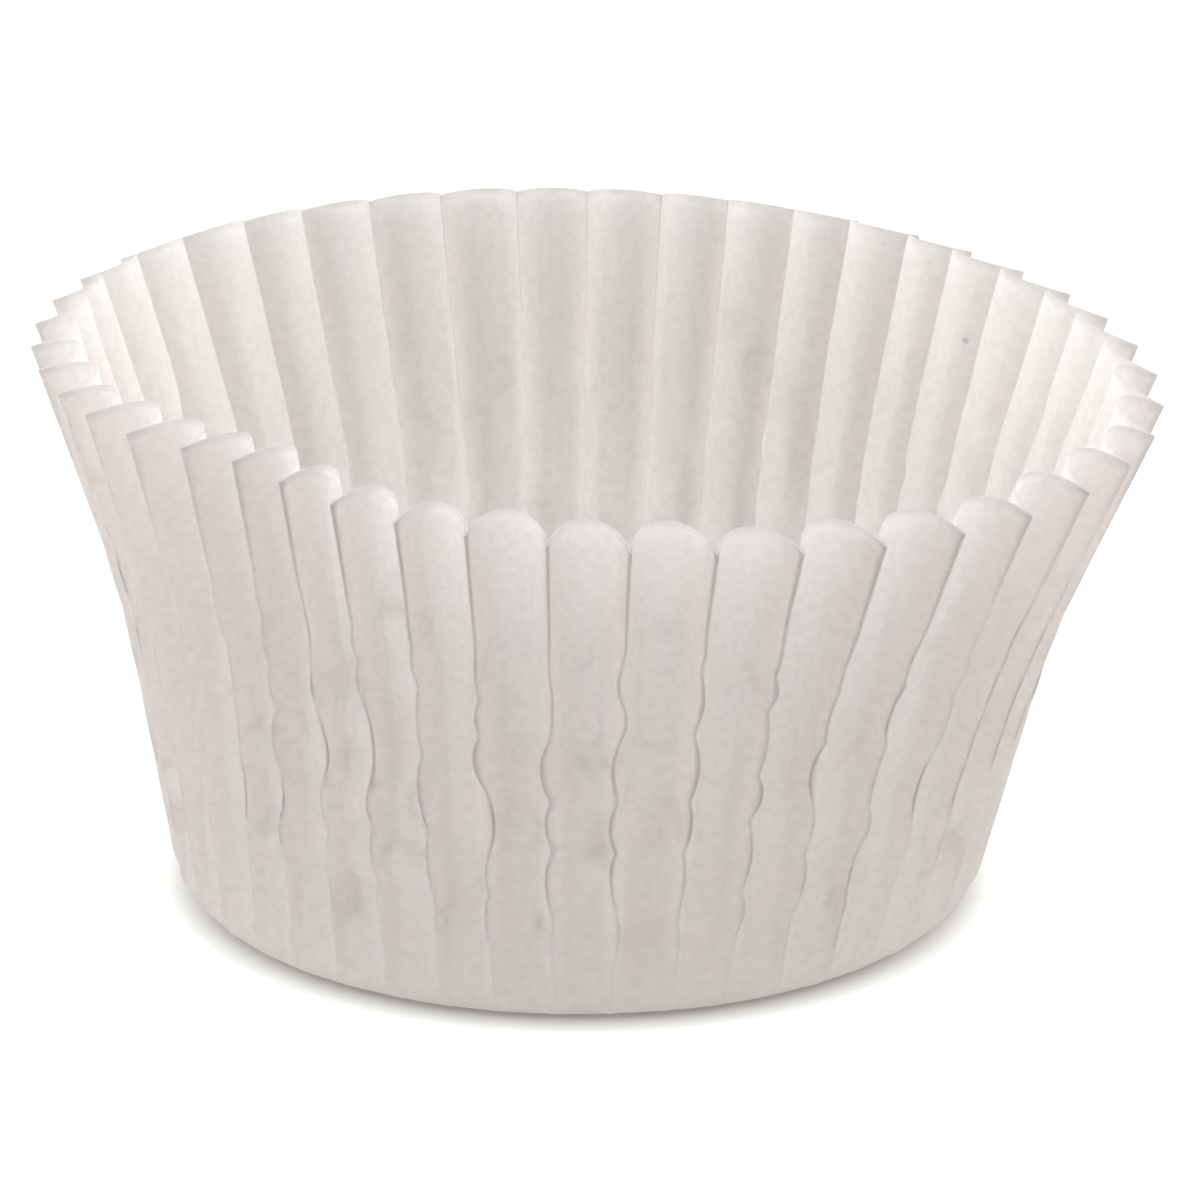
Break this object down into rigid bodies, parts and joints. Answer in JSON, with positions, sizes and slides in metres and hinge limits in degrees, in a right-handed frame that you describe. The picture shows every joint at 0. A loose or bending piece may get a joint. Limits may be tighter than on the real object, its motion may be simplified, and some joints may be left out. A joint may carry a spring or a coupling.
{
  "type": "cupcake liner",
  "caption": "Pleated white paper baking cup with a flat round base, a softly turned corner and a flared wall that ends in a scalloped rim.",
  "frame": {"origin": "centre of the underside of the flat base", "axes": "+Z square to the flat base, up towards the open rim, +X to the right and +Y away from the viewer; the pleats run around Z, and the wall leans in furthest at the front left"},
  "size_m": [0.0744, 0.0752, 0.0383],
  "materials": {
    "greaseproof_paper": "thin uncoated greaseproof paper, warm white, matt with a faint sheen, slightly see-through, finely mottled and crushed along the pleats"
  },
  "bodies": {
    "root": {"liner": "greaseproof_paper"}
  },
  "joints": []
}
